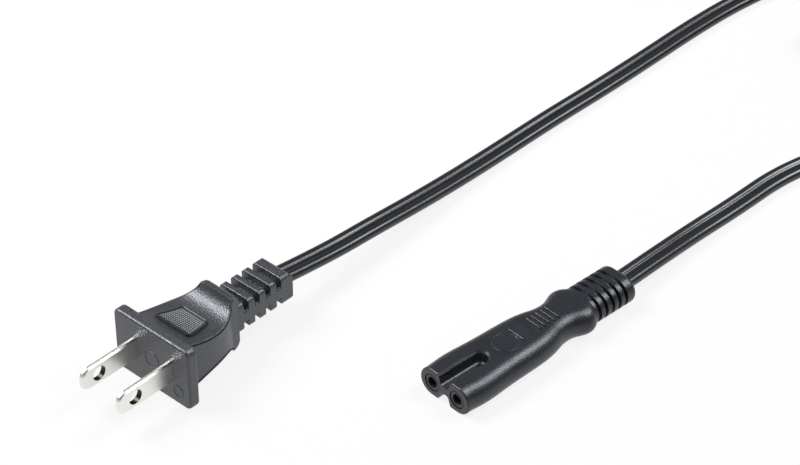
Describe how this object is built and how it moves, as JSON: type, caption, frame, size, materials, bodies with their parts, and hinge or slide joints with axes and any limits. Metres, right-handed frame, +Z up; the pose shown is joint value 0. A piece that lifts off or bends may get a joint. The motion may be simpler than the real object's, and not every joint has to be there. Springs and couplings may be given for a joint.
{
  "type": "power cord",
  "caption": "Power cord with a moulded flat-blade plug, a flat twin cord and a slim moulded connector with round pin sockets, ribbed strain reliefs at both ends.",
  "frame": {"origin": "under the middle of the plug, blades included, on the surface that the plug lies on", "axes": "+X across the blades, -Y the way the blades point and +Y the way the cord leaves, +Z up"},
  "size_m": [0.1211, 0.3144, 0.0181],
  "materials": {
    "moulding": "soft satin PVC",
    "bridge": "matt hard plastic",
    "blade": "bright nickel plate",
    "insulation": "satin PVC",
    "strand": "bright copper strands",
    "cord": "glossy PVC",
    "connector": "satin PVC",
    "connector_core": "satin hard plastic",
    "contact": "tinned brass"
  },
  "bodies": {
    "root": {"plug_body": "moulding", "plug_bridge": "bridge", "blade_right": "blade", "blade_left": "blade", "plug_wire_right": "insulation", "plug_wire_left": "insulation", "plug_strand_right": "strand", "plug_strand_left": "strand", "cord_plug_run": "cord", "cord_coil": "cord", "cord_connector_run": "cord", "connector_body": "connector", "connector_core": "connector_core", "contact_right": "contact", "contact_left": "contact", "connector_wire_right": "insulation", "connector_wire_left": "insulation", "connector_strand_right": "strand", "connector_strand_left": "strand"}
  },
  "joints": []
}
